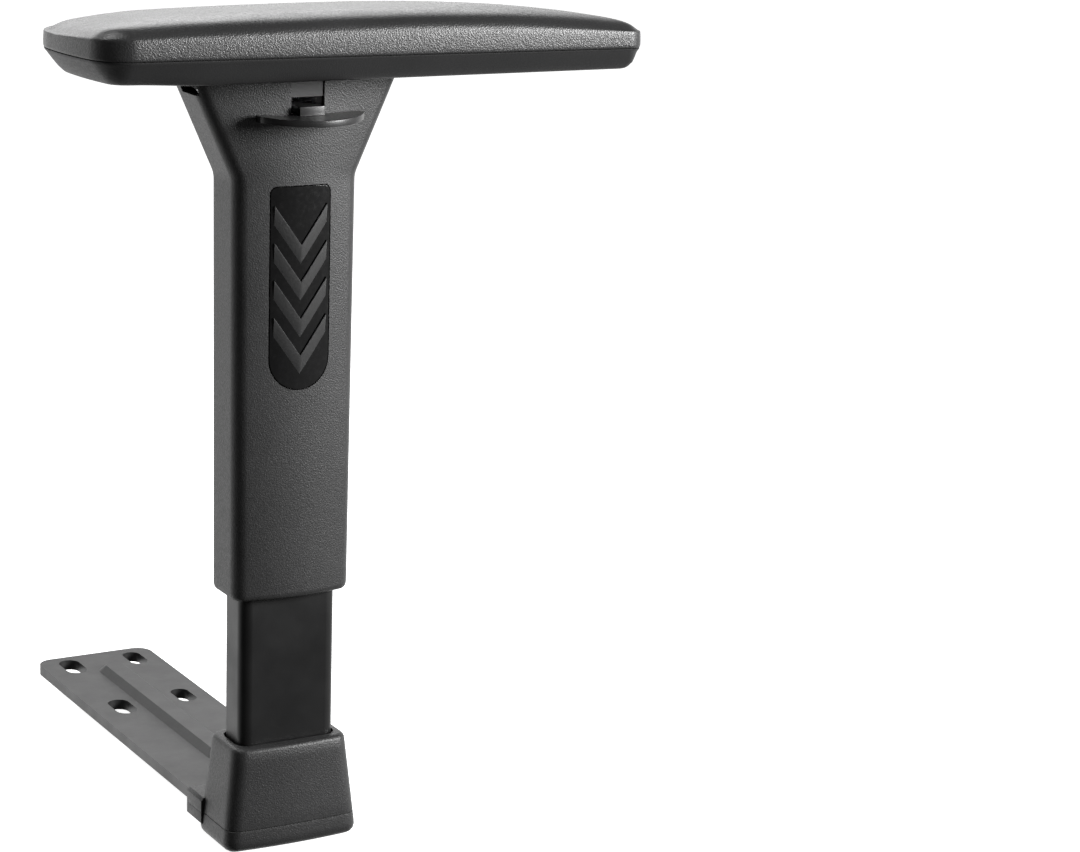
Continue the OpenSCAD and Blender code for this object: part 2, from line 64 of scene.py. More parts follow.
def make_camera():
    yaw, pitch, roll = (math.radians(a) for a in (30.201, 13.997, -1.838))
    fwd = Vector((math.sin(yaw) * math.cos(pitch), math.cos(yaw) * math.cos(pitch), -math.sin(pitch)))
    right0 = Vector((math.cos(yaw), -math.sin(yaw), 0))
    down0 = Vector((-math.sin(pitch) * math.sin(yaw), -math.sin(pitch) * math.cos(yaw), -math.cos(pitch)))
    right = math.cos(roll) * right0 + math.sin(roll) * down0
    down = -math.sin(roll) * right0 + math.cos(roll) * down0
    rot = Matrix((right, -down, -fwd)).transposed().to_4x4()
    data = bpy.data.cameras.new("camera")
    data.sensor_fit = "HORIZONTAL"
    data.sensor_width = 36
    data.lens = 98.89
    data.clip_start = 0.05
    data.clip_end = 60
    cam = bpy.data.objects.new("camera", data)
    cam.matrix_world = Matrix.Translation(Vector((-533.37, -1140.06, 489.89)) * MM) @ rot
    bpy.context.scene.collection.objects.link(cam)
    bpy.context.scene.camera = cam
    return cam


camera = make_camera()


# ---------------------------------------------------------------- node helpers

def new_material(name):
    m = bpy.data.materials.new(name)
    m.use_nodes = True
    nt = m.node_tree
    nt.nodes.clear()
    out = nt.nodes.new("ShaderNodeOutputMaterial")
    bsdf = nt.nodes.new("ShaderNodeBsdfPrincipled")
    nt.links.new(bsdf.outputs[0], out.inputs[0])
    return m, nt, bsdf


def noise(nt, co, scale, detail=3.0, rough=0.55):
    n = nt.nodes.new("ShaderNodeTexNoise")
    n.inputs["Scale"].default_value = scale
    n.inputs["Detail"].default_value = detail
    n.inputs["Roughness"].default_value = rough
    nt.links.new(co, n.inputs["Vector"])
    return n.outputs["Fac"]


def cells(nt, co, scale, feature="F1", smooth=0.35):
    v = nt.nodes.new("ShaderNodeTexVoronoi")
    v.feature = feature
    v.inputs["Scale"].default_value = scale
    if feature == "SMOOTH_F1":
        v.inputs["Smoothness"].default_value = smooth
    nt.links.new(co, v.inputs["Vector"])
    return v.outputs["Distance"]


def remap(nt, fac, lo, hi, a=0.0, b=1.0):
    r = nt.nodes.new("ShaderNodeMapRange")
    r.inputs["From Min"].default_value = lo
    r.inputs["From Max"].default_value = hi
    r.inputs["To Min"].default_value = a
    r.inputs["To Max"].default_value = b
    nt.links.new(fac, r.inputs["Value"])
    return r.outputs["Result"]


def math_node(nt, op, a, b):
    n = nt.nodes.new("ShaderNodeMath")
    n.operation = op
    for i, x in enumerate((a, b)):
        if isinstance(x, (int, float)):
            n.inputs[i].default_value = x
        else:
            nt.links.new(x, n.inputs[i])
    return n.outputs[0]


def ramp_colour(nt, fac, dark, light):
    r = nt.nodes.new("ShaderNodeValToRGB")
    r.color_ramp.elements[0].color = (*dark, 1)
    r.color_ramp.elements[1].color = (*light, 1)
    nt.links.new(fac, r.inputs[0])
    return r.outputs[0]


def bump(nt, bsdf, height, dist, strength=1.0):
    b = nt.nodes.new("ShaderNodeBump")
    b.inputs["Strength"].default_value = strength
    b.inputs["Distance"].default_value = dist
    nt.links.new(height, b.inputs["Height"])
    nt.links.new(b.outputs[0], bsdf.inputs["Normal"])


def coords(nt):
    return nt.nodes.new("ShaderNodeTexCoord").outputs["Object"]


def grey(v):
    return (v, v, v * 1.015)


def plastic(name, base, vary, rough, grain, depth, spec=0.5):
    """Moulded plastic: mottled base colour, fine spark-eroded grain, uneven gloss."""
    m, nt, bsdf = new_material(name)
    co = coords(nt)
    cloud = remap(nt, noise(nt, co, 30.0, 4.0), 0.3, 0.7)
    nt.links.new(ramp_colour(nt, cloud, grey(base * (1 - vary)), grey(base * (1 + vary))),
                 bsdf.inputs["Base Color"])
    bsdf.inputs["Specular IOR Level"].default_value = spec
    speck = noise(nt, co, grain * 0.5, 2.0, 0.6)
    nt.links.new(remap(nt, speck, 0.3, 0.7, rough - 0.06, rough + 0.08), bsdf.inputs["Roughness"])
    fine = noise(nt, co, grain, 2.0, 0.6)
    pits = cells(nt, co, grain * 0.8)
    bump(nt, bsdf, math_node(nt, "ADD", fine, math_node(nt, "MULTIPLY", pits, 0.6)), depth)
    return m


def leather_mat(name, base, rough, grain, depth):
    """Moulded skin with a pebble grain: cells with rounded tops over a fine noise."""
    m, nt, bsdf = new_material(name)
    co = coords(nt)
    cloud = noise(nt, co, 18.0, 5.0)
    nt.links.new(ramp_colour(nt, remap(nt, cloud, 0.3, 0.7), grey(base * 0.86), grey(base * 1.15)),
                 bsdf.inputs["Base Color"])
    bsdf.inputs["Specular IOR Level"].default_value = 0.5
    warp = nt.nodes.new("ShaderNodeVectorMath")
    warp.operation = "MULTIPLY_ADD"
    wn = nt.nodes.new("ShaderNodeTexNoise")
    wn.inputs["Scale"].default_value = grain * 0.35
    nt.links.new(co, wn.inputs["Vector"])
    nt.links.new(wn.outputs["Color"], warp.inputs[0])
    warp.inputs[1].default_value = (0.0016, 0.0016, 0.0016)
    nt.links.new(co, warp.inputs[2])
    pebble = cells(nt, warp.outputs[0], grain, "SMOOTH_F1", 0.4)
    fine = noise(nt, co, grain * 2.4, 2.0, 0.6)
    height = math_node(nt, "SUBTRACT", math_node(nt, "MULTIPLY", fine, 0.35), pebble)
    # the grain is stretched flatter over the top than round the sides
    up = nt.nodes.new("ShaderNodeSeparateXYZ")
    nt.links.new(nt.nodes.new("ShaderNodeTexCoord").outputs["Normal"], up.inputs[0])
    bump(nt, bsdf, math_node(nt, "MULTIPLY", height, remap(nt, up.outputs["Z"], 0.5, 0.95, 1.0, 0.35)), depth)
    nt.links.new(remap(nt, pebble, 0.1, 0.7, rough - 0.05, rough + 0.1), bsdf.inputs["Roughness"])
    return m


def metal_paint(name, base, rough, peel, depth, spec=0.5):
    """Powder coat: orange-peel bump and slight unevenness in colour and gloss."""
    m, nt, bsdf = new_material(name)
    co = coords(nt)
    cloud = noise(nt, co, 22.0, 4.0)
    nt.links.new(ramp_colour(nt, remap(nt, cloud, 0.3, 0.7), grey(base * 0.85), grey(base * 1.15)),
                 bsdf.inputs["Base Color"])
    bsdf.inputs["Specular IOR Level"].default_value = spec
    nt.links.new(remap(nt, noise(nt, co, 60.0, 3.0), 0.3, 0.7, rough - 0.05, rough + 0.07),
                 bsdf.inputs["Roughness"])
    bump(nt, bsdf, noise(nt, co, peel, 2.0, 0.5), depth)
    return m


def bare_metal(name, base, rough, stretch):
    m, nt, bsdf = new_material(name)
    co = coords(nt)
    mp = nt.nodes.new("ShaderNodeMapping")
    mp.inputs["Scale"].default_value = stretch
    nt.links.new(co, mp.inputs["Vector"])
    lines = noise(nt, mp.outputs[0], 90.0, 4.0, 0.7)
    nt.links.new(ramp_colour(nt, remap(nt, lines, 0.3, 0.7), grey(base * 0.85), grey(base * 1.08)),
                 bsdf.inputs["Base Color"])
    bsdf.inputs["Metallic"].default_value = 1.0
    nt.links.new(remap(nt, lines, 0.3, 0.7, rough - 0.06, rough + 0.1), bsdf.inputs["Roughness"])
    bump(nt, bsdf, lines, 0.00002)
    return m


def wood(name):
    m, nt, bsdf = new_material(name)
    co = coords(nt)
    mp = nt.nodes.new("ShaderNodeMapping")
    mp.inputs["Scale"].default_value = (1.0, 14.0, 60.0)
    nt.links.new(co, mp.inputs["Vector"])
    grain = noise(nt, mp.outputs[0], 14.0, 6.0, 0.65)
    nt.links.new(ramp_colour(nt, remap(nt, grain, 0.3, 0.7), (0.36, 0.24, 0.13), (0.62, 0.46, 0.28)),
                 bsdf.inputs["Base Color"])
    bsdf.inputs["Roughness"].default_value = 0.7
    bump(nt, bsdf, grain, 0.0001)
    return m


mats = {
    "black_plastic": plastic("sleeve_grain", 0.020, 0.16, 0.46, 1900.0, 0.00011, 0.5),
    "foot_grain": plastic("foot_grain", 0.020, 0.16, 0.44, 1800.0, 0.00011, 0.5),
    "pad_base_plastic": plastic("pad_shell", 0.020, 0.1, 0.5, 2000.0, 0.00005, 0.35),
    "lever_plastic": plastic("lever_satin", 0.015, 0.1, 0.34, 2600.0, 0.00003),
    "bush_plastic": plastic("bush_plastic", 0.02, 0.1, 0.45, 2000.0, 0.00003),
    "natural_nylon": plastic("natural_nylon", 0.62, 0.05, 0.42, 1500.0, 0.00003),
    "strip_plastic": plastic("strip_plastic", 0.016, 0.15, 0.42, 2200.0, 0.00005),
    "gloss_black": plastic("gloss_black", 0.005, 0.1, 0.14, 900.0, 0.000002),
    "cushion_cover": leather_mat("pad_skin", 0.022, 0.34, 1500.0, 0.00010),
    "bracket_paint": metal_paint("bracket_paint", 0.022, 0.4, 420.0, 0.00003),
    "tube_paint": metal_paint("tube_paint", 0.008, 0.36, 500.0, 0.00002, spec=0.35),
    "grey_plate": metal_paint("grey_plate", 0.030, 0.45, 500.0, 0.00002),
    "zinc_steel": bare_metal("zinc_steel", 0.62, 0.32, (1.0, 1.0, 12.0)),
    "spring_steel": bare_metal("spring_steel", 0.6, 0.28, (10.0, 10.0, 1.0)),
    "plywood": wood("plywood"),
}

slot_of = {s["node"]: s["material_slot"] for s in frame["record"]["subparts"]}
for name, obj in frame["nodes"].items():
    obj.data.materials.clear()
    obj.data.materials.append(mats[slot_of[name]])


# ---------------------------------------------------------------- mesh helpers

def link(me, name):
    ob = bpy.data.objects.new(name, me)
    bpy.context.scene.collection.objects.link(ob)
    return ob


def to_object(bm, name, recalc=True):
    if recalc:
        bmesh.ops.recalc_face_normals(bm, faces=bm.faces)
    me = bpy.data.meshes.new(name)
    bm.to_mesh(me)
    bm.free()
    return link(me, name)


def band(bm, low, high):
    """Quads between two closed rows of vertices."""
    n = len(low)
    for i in range(n):
        j = (i + 1) % n
        bm.faces.new((low[i], low[j], high[j], high[i]))


def circle(u, v, r, step=15):
    angles = [math.radians(a) for a in range(0, 360, step)]
    return [(u + r * math.cos(a), v + r * math.sin(a)) for a in angles]


def smooth_step(t):
    t = min(max(t, 0.0), 1.0)
    return t * t * (3 - 2 * t)


def bulge(x, y, hw, hd, b):
    return x, y + b * (1 - (x / hw) ** 2) * y / hd


def ring(hw, hd, r, b, n=8, m=22, ends=6):
    """Rounded rectangle with bulging front and back, counter-clockwise, in millimetres."""
    pts = []
    for k in range(4):
        sx = 1 if k in (0, 3) else -1
        sy = 1 if k < 2 else -1
        for i in range(n + 1):
            a = math.radians(90 * k + 90 * i / n)
            pts.append(bulge(sx * (hw - r) + r * math.cos(a), sy * (hd - r) + r * math.sin(a), hw, hd, b))
        if k % 2 == 0:
            run = 2 * (hw - r)
            for j in range(1, m):
                pts.append(bulge(sx * (hw - r - run * j / m), sy * hd, hw, hd, b))
        else:
            run = 2 * (hd - r)
            for j in range(1, ends):
                pts.append(bulge(sx * hw, sy * (hd - r - run * j / ends), hw, hd, b))
    return pts


def loft(name, sections):
    """Closed skin through rings of equal length; each section is (z, ring) or (None, [points with z])."""
    bm = bmesh.new()
    rows = []
    for z, pts in sections:
        rows.append([bm.verts.new(Vector((p[0], p[1], p[2] if z is None else z)) * MM) for p in pts])
    for low, high in zip(rows, rows[1:]):
        band(bm, low, high)
    bm.faces.new(list(reversed(rows[0])))
    bm.faces.new(rows[-1])
    bm.normal_update()
    return to_object(bm, name, recalc=False)


def prism(name, outline, depth, place):
    """Extrudes a 2-D outline; place maps (u, v, w) to a point in millimetres."""
    bm = bmesh.new()
    a = [bm.verts.new(Vector(place(u, v, 0)) * MM) for u, v in outline]
    b = [bm.verts.new(Vector(place(u, v, depth)) * MM) for u, v in outline]
    bm.faces.new(list(reversed(a)))
    bm.faces.new(b)
    band(bm, a, b)
    return to_object(bm, name)


def block(name, lo, hi):
    x0, y0, z0 = lo
    x1, y1, z1 = hi
    return prism(name, [(x0, y0), (x1, y0), (x1, y1), (x0, y1)], z1 - z0, lambda u, v, w: (u, v, z0 + w))


def bake(ob):
    """Applies the modifiers by taking the evaluated mesh."""
    dg = bpy.context.evaluated_depsgraph_get()
    dg.update()
    me = bpy.data.meshes.new_from_object(ob.evaluated_get(dg))
    ob.modifiers.clear()
    old = ob.data
    ob.data = me
    bpy.data.meshes.remove(old)


def boolean(ob, tools, op="DIFFERENCE"):
    for t in tools:
        m = ob.modifiers.new("cut", "BOOLEAN")
        m.operation = op
        m.solver = "EXACT"
        m.object = t
    bake(ob)
    for t in tools:
        bpy.data.objects.remove(t)


def soften(ob, width, angle, segments, smooth):
    """Rounds the edges sharper than angle and shades those flatter than smooth as one surface."""
    bev = ob.modifiers.new("edges", "BEVEL")
    bev.width = width * MM
    bev.segments = segments
    bev.limit_method = "ANGLE"
    bev.angle_limit = math.radians(angle)
    bev.use_clamp_overlap = True
    bev.miter_outer = "MITER_ARC"
    bake(ob)
    shade(ob, smooth)


def shade(ob, angle):
    me = ob.data
    me.polygons.foreach_set("use_smooth", [True] * len(me.polygons))
    bm = bmesh.new()
    bm.from_mesh(me)
    lim = math.radians(angle)
    for e in bm.edges:
        e.smooth = not (len(e.link_faces) == 2 and e.calc_face_angle(0) > lim)
    bm.to_mesh(me)
    bm.free()
    me.update()


def even_out(ob):
    """Lets the large faces set the shading, so that thin slivers don't show."""
    ob.modifiers.new("even", "WEIGHTED_NORMAL").keep_sharp = True
    bake(ob)


def dress(ob, mat, body, slot, *nodes):
    ob.data.materials.clear()
    ob.data.materials.append(mats[mat])
    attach(ob, body)
    if nodes:
        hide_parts(*nodes)


# ---------------------------------------------------------------- sleeve

def inlay_outline(grow, n=24):
    """Outline of the inlay, grown by grow: round below, with small corners at the top."""
    hw = INLAY_HW + grow
    r = 3.0 + grow
    c = INLAY_Z[0] + INLAY_HW
    pts = [(hw * math.cos(math.radians(a)), c + hw * math.sin(math.radians(a)))
           for a in [180 + 180 * i / n for i in range(n + 1)]]
    top = INLAY_Z[1] + grow
    pts += [(hw - r + r * math.cos(math.radians(a)), top - r + r * math.sin(math.radians(a)))
            for a in [90 * i / 6 for i in range(7)]]
    pts += [(-hw + r + r * math.cos(math.radians(a)), top - r + r * math.sin(math.radians(a)))
            for a in [90 + 90 * i / 6 for i in range(7)]]
    return pts


def on_front(name, outline, depth):
    """A prism standing on the sleeve's front, from depth inside it to well outside."""
    return prism(name, outline, 12.0, lambda u, v, w: (u, -HD - CROWN + depth - w, v))


def make_sleeve():
    lip, lip_h, neck_r = 2.6, 3.2, 2.4
    secs = [(SLEEVE_LOW, ring(HW[0] - lip, HD - lip, 1.6, CROWN))]
    for a in (20, 40, 60, 90):
        s, c = math.sin(math.radians(a)), math.cos(math.radians(a))
        secs.append((SLEEVE_LOW + lip_h * (1 - c),
                     ring(HW[0] - lip + lip * s, HD - lip + lip * s, 1.6 + 3.6 * s, CROWN)))
    for t in (0.12, 0.25, 0.4, 0.55, 0.7, 0.85):
        secs.append((SLEEVE_LOW + lip_h + (181 - lip_h) * t,
                     ring(HW[0] + (HW[1] - HW[0]) * t, HD, SLEEVE_R, CROWN)))
    # a short fillet at the neck, then the flare
    slope = (HW[2] - HW[1]) / (PAD_UNDER - NECK)
    for t in (-2.4, -1.4, -0.4, 0.6, 1.5, 2.4):
        secs.append((NECK + t, ring(HW[1] + slope * (t + neck_r) ** 2 / (4 * neck_r), HD, SLEEVE_R, CROWN)))
    for z in (291, 297, 304, 311, 318, 324, PAD_UNDER):
        secs.append((z, ring(HW[1] + slope * (z - NECK), HD, SLEEVE_R, CROWN)))
    ob = loft("sleeve_shell", secs)
    web = PAD_UNDER - 6
    inner = loft("sleeve_hollow", [
        (SLEEVE_LOW - 5, ring(HW[0] - WALL, HD - WALL, 2.6, CROWN)),
        (NECK - 4, ring(HW[0] - WALL, HD - WALL, 2.6, CROWN)),
        (web, ring(HW[2] - 5.3, HD - WALL, 2.6, CROWN))])
    recess = on_front("recess", inlay_outline(0.45), 2.2)
    window = block("window", (LEVER_X - 7.7, -30, 312.8), (LEVER_X + 7.7, -11, 352))
    notch_l = block("notch_l", (-60, -11.5, web - 2), (-42, 4.5, 340))
    notch_r = block("notch_r", (42, -11.5, web - 2), (60, 4.5, 340))
    hole = block("web_hole", (LEVER_X - 9.2, -11.8, web - 2), (LEVER_X + 9.2, 9.2, 335))
    boolean(ob, [inner, recess, window, notch_l, notch_r, hole])
    soften(ob, 0.45, 38, 3, 32)
    even_out(ob)
    dress(ob, "black_plastic", "carriage", "black_plastic", "sleeve")


def make_inlay():
    face = loft("inlay_face", [(z, ring(HW[1], HD, 4, CROWN, 8, 60))
                               for z in (INLAY_Z[0] - 6, INLAY_Z[1] + 6)])
    panel = on_front("inlay_gloss", inlay_outline(0.0), 2.1)
    boolean(panel, [face], "INTERSECT")
    soften(panel, 0.45, 38, 3, 32)
    even_out(panel)
    dress(panel, "gloss_black", "carriage", "gloss_black", "inlay_panel")
    for k in range(4):
        strip = chevron("chevron_%d" % (k + 1), CHEVRON_TIP - CHEVRON_PITCH * k)
        dress(strip, "strip_plastic", "carriage", "strip_plastic", *(["chevron_strips"] if k == 0 else []))


def chevron(name, tip, rise=17.2, half=12.2, wide=8.2, proud=0.8):
    """A V of wedge section: its upper edge stands proud of the panel and its lower edge is flush."""
    section = ((0.0, -0.3), (0.0, 0.03), (0.9, proud), (0.96, proud - 0.02), (1.0, proud - 0.2), (1.0, -0.3))
    bm = bmesh.new()
    cols = []
    for i in range(31):
        x = -half + half * i / 15.0
        face = -(HD + CROWN * (1 - (x / HW[1]) ** 2))
        low = tip - wide + rise * abs(x) / half
        cols.append([bm.verts.new(Vector((x, face - out, low + wide * t)) * MM) for t, out in section])
    n = len(section)
    for a, b in zip(cols, cols[1:]):
        for i in range(n):
            j = (i + 1) % n
            bm.faces.new((a[i], b[i], b[j], a[j]))
    bm.faces.new(cols[0])
    bm.faces.new(list(reversed(cols[-1])))
    ob = to_object(bm, name)
    shade(ob, 25)
    return ob


# ---------------------------------------------------------------- foot

def foot_ring(z, inset=0.0):
    t = (z - FOOT_LOW) / (FOOT_TOP - FOOT_LOW)
    return ring(32.6 - 5.2 * t - inset, 17.6 - 2.8 * t - inset, max(6.0 - inset, 1.5), 1.6)


def rounded_rows(z_edge, size, up):
    """Rows that round a loft's end: from the inset face out to the wall."""
    rows = []
    for a in (90, 70, 50, 30, 10):
        s, c = math.sin(math.radians(a)), math.cos(math.radians(a))
        z = z_edge - size * (1 - s) if up else z_edge + size * (1 - s)
        rows.append((z, foot_ring(z, size * (1 - c))))
    return rows


def passage(gap=0.3):
    """Room for the bracket plate through the foot: its narrow tail and its full width."""
    low, end = -PLATE_T - gap, 46
    return [block("tail_way", (-TAIL_HW - gap, -TAIL_Y - gap, low), (TAIL_HW + gap, end, gap)),
            block("bar_way", (-PLATE_HW - gap, 17 - gap, low), (PLATE_HW + gap, end, gap))]


def make_foot():
    nick = 0.2
    secs = [(FOOT_PART, foot_ring(FOOT_PART, nick)), (FOOT_PART + nick, foot_ring(FOOT_PART + nick))]
    secs += [(z, foot_ring(z)) for z in (2, 8, 14, 20, 26)]
    secs += list(reversed(rounded_rows(FOOT_TOP, 2.4, True)))
    cover = loft("foot_upper", secs)
    w = COLLAR_HW
    outline = [(-w, FOOT_PART), (w, FOOT_PART), (w, 1.0), (w - 1.4, 2.4), (-w + 1.4, 2.4), (-w, 1.0)]
    collar = prism("collar", outline, COLLAR_Y[1] - COLLAR_Y[0], lambda u, v, w: (u, COLLAR_Y[0] + w, v))
    boolean(cover, [collar], "UNION")
    hollow = loft("hollow", [(z, foot_ring(z, WALL)) for z in (FOOT_PART - 1, FOOT_TOP - 5)])
    tube = loft("tube_way", [(z, ring(23.8, 11.3, 6, 0)) for z in (-20, 40)])
    boolean(cover, [hollow, tube] + passage())
    soften(cover, 0.4, 40, 3, 35)
    dress(cover, "foot_grain", "upright", "black_plastic", "foot_cover")

    top = FOOT_PART - 0.15
    secs = rounded_rows(FOOT_LOW, 5.0, False)
    secs += [(z, foot_ring(z)) for z in (-9, -6, top - nick)]
    secs.append((top, foot_ring(top, nick)))
    cap = loft("foot_lower", secs)
    seat = CAP_SCREW_SEAT
    outline = [(-w, top), (-w, seat), (-29, -13), (29, -13), (w, seat), (w, top)]
    lug = prism("lug", outline, 14, lambda u, v, w: (u, COLLAR_Y[0] + w, v))
    tray = block("tray", (-w, 20, seat), (w, COLLAR_Y[1], top))
    boolean(cap, [lug, tray], "UNION")
    hollow = loft("hollow", [(z, foot_ring(z, WALL)) for z in (FOOT_LOW + 2.4, FOOT_PART + 1)])
    sinks = []
    for x in (-CAP_SCREW, CAP_SCREW):
        for r, z in ((3.5, seat), (1.9, 0)):
            sinks.append(prism("sink", circle(x, CAP_SCREW_Y, r), z + 20, lambda u, v, w: (u, v, -20 + w)))
    boolean(cap, [hollow] + sinks + passage())
    soften(cap, 0.35, 40, 3, 35)
    dress(cap, "foot_grain", "upright", "black_plastic", "foot_cap")


# ---------------------------------------------------------------- pad

def pad_ring(d, n=14, m=26, side=44):
    """Plan outline of the pad drawn in by d: round rear end, squarer front end."""
    c = [(PAD_X[1] - d, PAD_HW - d, max(14 - d, 5)), (PAD_X[0] + d, PAD_HW - d, max(40 - d, 12)),
         (PAD_X[0] + d, -PAD_HW + d, max(13 - d, 6)), (PAD_X[1] - d, -PAD_HW + d, max(9 - d, 4))]
    pts = []
    for k in range(4):
        x, y, r = c[k]
        x2, y2, r2 = c[(k + 1) % 4]
        sx = 1 if k in (0, 3) else -1
        sy = 1 if k < 2 else -1
        for i in range(n + 1):
            a = math.radians(90 * k + 90 * i / n)
            pts.append((x - sx * r + r * math.cos(a), y - sy * r + r * math.sin(a)))
        count = side if k % 2 == 0 else m
        if k % 2 == 0:
            a, b = (x - sx * r, y), (x2 + sx * r2, y2)
        else:
            a, b = (x, y - sy * r), (x2, y2 + sy * r2)
        for j in range(1, count):
            t = j / count
            pts.append((a[0] + (b[0] - a[0]) * t, a[1] + (b[1] - a[1]) * t))
    out = []
    for x, y in pts:
        if x < 0:
            x -= BOW * (1 - (y / PAD_HW) ** 2) * (-x / 108.0)
        out.append((x, y))
    return out


def sag(x, y):
    """How far the top falls away from its highest point, along the pad and towards its back."""
    dx = x - 35.0
    return (5.0e-4 if dx > 0 else 1.5e-4) * dx * dx + 5.4 * max((y + PAD_HW) / (2 * PAD_HW), 0.0) ** 1.5


def tilt(x):
    """The seam runs down a little towards the square end."""
    return -0.0075 * (x - 30.0)


def shell_row(z, d):
    """One row of the hard shell: its rim rises at the round end and stands farther out at the square end."""
    k = min(max((z - 333.0) / (SEAM - 333.0), 0.0), 1.0)
    low = 1 - smooth_step((z - PAD_UNDER) / (SEAM - PAD_UNDER))
    row = []
    for x, y in pad_ring(d):
        out = 4.0 * low * smooth_step((x - 105.0) / 35.0)
        rise = 1.3 * low * smooth_step((-x - 52.0) / 35.0)
        row.append((x + out, y, z + k * tilt(x) + rise))
    return None, row


def pad_rows(profile):
    """Rows from (inset, height above the seam); the upper ones follow the fall of the top."""
    rows = []
    for d, h in profile:
        w = smooth_step((h - 5.6) / 9.0)
        rows.append([(x, y, SEAM + h - w * sag(x, y) + (1 - w) * tilt(x)) for x, y in pad_ring(d)])
    return rows


def fill_top(bm, rim, height, reach=24.0, rise=0.5, step=4.0):
    """Closes the rim with an even net that swells by rise over reach from the rim inwards."""
    edge = [Vector((v.co.x / MM, v.co.y / MM)) for v in rim]
    near = KDTree(len(edge))
    for i, p in enumerate(edge):
        near.insert((p.x, p.y, 0), i)
    near.balance()
    across = step * 0.866
    inside = []
    x0, x1 = min(p.x for p in edge), max(p.x for p in edge)
    y0, y1 = min(p.y for p in edge), max(p.y for p in edge)
    for i in range(int((x1 - x0) / step) + 1):
        for j in range(int((y1 - y0) / across) + 1):
            x, y = x0 + step * (i + 0.5 * (j % 2)), y0 + across * j
            _, k, dist = near.find((x, y, 0))
            a, b = edge[k], edge[(k + 1) % len(edge)]
            inward = (b.x - a.x) * (y - a.y) - (b.y - a.y) * (x - a.x)
            if inward > 0 and dist > 0.6 * step:
                inside.append((Vector((x, y)), dist))
    pts = edge + [p for p, _ in inside]
    loop = list(range(len(edge)))
    co, _, faces, orig, _, _ = delaunay_2d_cdt(pts, [], [loop], 1, 1e-4)
    verts = []
    for i, p in enumerate(co):
        src = orig[i][0]
        if src < len(edge):
            verts.append(rim[src])
        else:
            t = min(inside[src - len(edge)][1] / reach, 1.0)
            z = height(p.x, p.y) + rise * (1 - (1 - t) ** 2)
            verts.append(bm.verts.new(Vector((p.x, p.y, z)) * MM))
    for f in faces:
        bm.faces.new([verts[i] for i in f])


def plump(ob, pressure=4.0, frames=20, most=1.2):
    """Inflates a coarse closed copy as cloth and moves the fine skin by the same amount."""
    coarse = link(ob.data.copy(), "coarse")
    rem = coarse.modifiers.new("remesh", "REMESH")
    rem.mode = "VOXEL"
    rem.voxel_size = 5 * MM
    bake(coarse)
    start = [v.co.copy() for v in coarse.data.vertices]
    pin = coarse.vertex_groups.new(name="rim")
    pin.add([i for i, c in enumerate(start) if c.z < (SEAM + 3.0) * MM], 1.0, "REPLACE")
    cloth = coarse.modifiers.new("cloth", "CLOTH")
    cloth.settings.use_pressure = True
    cloth.settings.uniform_pressure_force = pressure
    cloth.settings.vertex_group_mass = "rim"
    cloth.settings.mass = 0.3
    cloth.settings.tension_stiffness = cloth.settings.compression_stiffness = 20
    cloth.settings.bending_stiffness = 4
    cloth.settings.effector_weights.gravity = 0.0
    cloth.collision_settings.use_collision = False
    cloth.point_cache.frame_start = 1
    cloth.point_cache.frame_end = frames
    scene = bpy.context.scene
    for f in range(1, frames + 1):
        scene.frame_set(f)
    dg = bpy.context.evaluated_depsgraph_get()
    end = [v.co.copy() for v in coarse.evaluated_get(dg).data.vertices]
    scene.frame_set(1)
    tree = KDTree(len(start))
    for i, c in enumerate(start):
        tree.insert(c, i)
    tree.balance()
    for v in ob.data.vertices:
        move, total = Vector((0, 0, 0)), 0.0
        for _, i, dist in tree.find_n(v.co, 8):
            w = 1.0 / (dist + 2 * MM)
            move += (end[i] - start[i]) * w
            total += w
        move /= total
        fade = min(max((v.co.z / MM - SEAM - 1.5) / 6.0, 0.0), 1.0)
        if move.length > most * MM:
            move *= most * MM / move.length
        v.co += move * fade
    ob.data.update()
    bpy.data.objects.remove(coarse)


def make_pad():
    base = loft("pad_shell", [shell_row(z, d) for z, d in (
        (PAD_UNDER, 9.8), (PAD_UNDER, 9.2), (329.3, 8.4), (330.0, 7.5), (332, 5.7), (334.5, 3.9),
        (337, 2.1), (338.2, 1.2), (339.0, 0.5), (339.4, 0.45), (SEAM, 0.8), (SEAM, 3.0))])
    shade(base, 50)
    dress(base, "pad_base_plastic", "carriage", "pad_base_plastic", "pad_base")

    profile = [(2.4, 0.02), (0.8, 0.03), (0.4, 0.15), (0.14, 0.5), (0.0, 1.2), (0.05, 4.5), (0.2, 8.1),
               (0.45, 10.2), (0.85, 11.5), (1.6, 12.8), (2.7, 14.0), (4.2, 15.1), (6.2, 16.0),
               (9.0, 16.7), (13.0, 17.1)]
    bm = bmesh.new()
    grid = [[bm.verts.new(Vector(p) * MM) for p in row] for row in pad_rows(profile)]
    for low, high in zip(grid, grid[1:]):
        band(bm, low, high)
    bm.faces.new(list(reversed(grid[0])))
    fill_top(bm, grid[-1], lambda x, y: SEAM + profile[-1][1] - sag(x, y))
    cushion = to_object(bm, "pad_cushion_skin")
    plump(cushion)
    sub = cushion.modifiers.new("sub", "SUBSURF")
    sub.levels = sub.render_levels = 1
    bake(cushion)
    shade(cushion, 60)
    dress(cushion, "cushion_cover", "carriage", "cushion_cover", "pad_cushion")


# ---------------------------------------------------------------- lever

